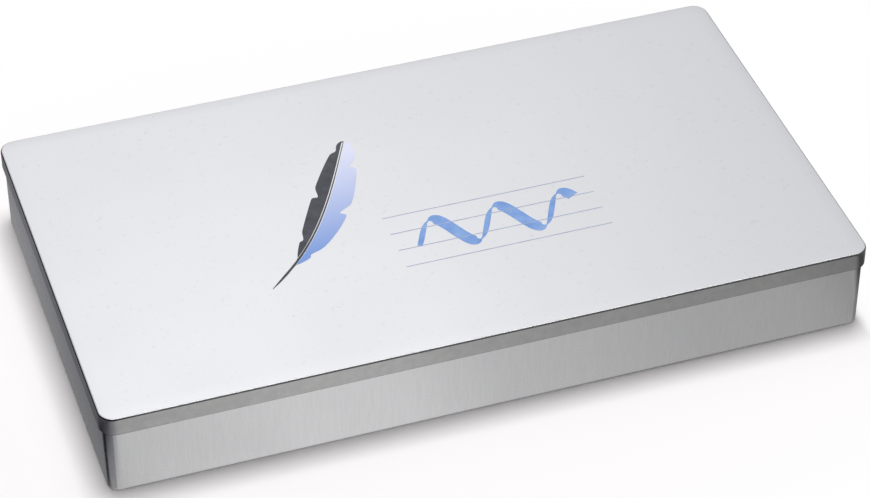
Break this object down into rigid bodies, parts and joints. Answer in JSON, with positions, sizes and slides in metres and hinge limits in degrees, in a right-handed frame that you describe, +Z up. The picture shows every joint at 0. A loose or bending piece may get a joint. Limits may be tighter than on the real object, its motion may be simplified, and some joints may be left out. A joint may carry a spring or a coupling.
{
  "type": "calligraphy set box",
  "caption": "Flat sheet-metal box with a hinged overhanging lid, and a moulded tray inside that holds a broad-nib pen, spare nibs and ink cartridges.",
  "frame": {"origin": "middle of the lid's outline, on the surface that the box stands on", "axes": "+X along the long side, +Y to the rear where the hinges are, +Z up. The front, which opens, faces -Y"},
  "size_m": [0.21, 0.1207, 0.0253],
  "materials": {
    "lid_metal": "satin silver lacquer over tinplate",
    "base_metal": "brushed upright, clear lacquer",
    "hinge_steel": "plain rolled sheet",
    "polished_steel": "polished",
    "tray_flock": "flocked grey",
    "pad_foam": "charcoal foam",
    "gloss_black_plastic": "gloss",
    "matt_black_plastic": "matt",
    "milky_plastic": "milky",
    "blue_cartridge": "clear plastic full of blue ink",
    "blue_plastic": "gloss"
  },
  "bodies": {
    "base": {"base_shell": "base_metal", "insert_tray": "tray_flock", "hinge_base_leaf_left": "hinge_steel", "hinge_base_leaf_right": "hinge_steel", "hinge_pin_left": "polished_steel", "hinge_pin_right": "polished_steel", "ink_cartridge_1": "blue_cartridge", "ink_cartridge_2": "blue_cartridge", "ink_cartridge_3": "blue_cartridge", "ink_cartridge_4": "blue_cartridge", "ink_cartridge_5": "blue_cartridge", "nib_holder_narrow": "matt_black_plastic", "nib_holder_wide": "matt_black_plastic", "spare_nib_narrow": "polished_steel", "spare_nib_wide": "polished_steel", "pen_barrel": "gloss_black_plastic", "pen_grip_section": "matt_black_plastic", "pen_feed": "matt_black_plastic", "pen_nib": "polished_steel", "pen_cartridge": "blue_cartridge", "pen_cap": "gloss_black_plastic", "pen_cap_liner": "milky_plastic", "pen_clip": "polished_steel", "pen_finial": "blue_plastic"},
    "lid": {"lid_shell": "lid_metal", "lid_foam_pad": "pad_foam", "hinge_lid_leaf_left": "hinge_steel", "hinge_lid_leaf_right": "hinge_steel"}
  },
  "joints": [
    {"name": "lid_hinge", "type": "hinge", "parent": "base", "child": "lid", "pos_m": [0, 0.05995, 0.0185], "axis": [-1, 0, 0], "range_deg": [0, 110]}
  ]
}
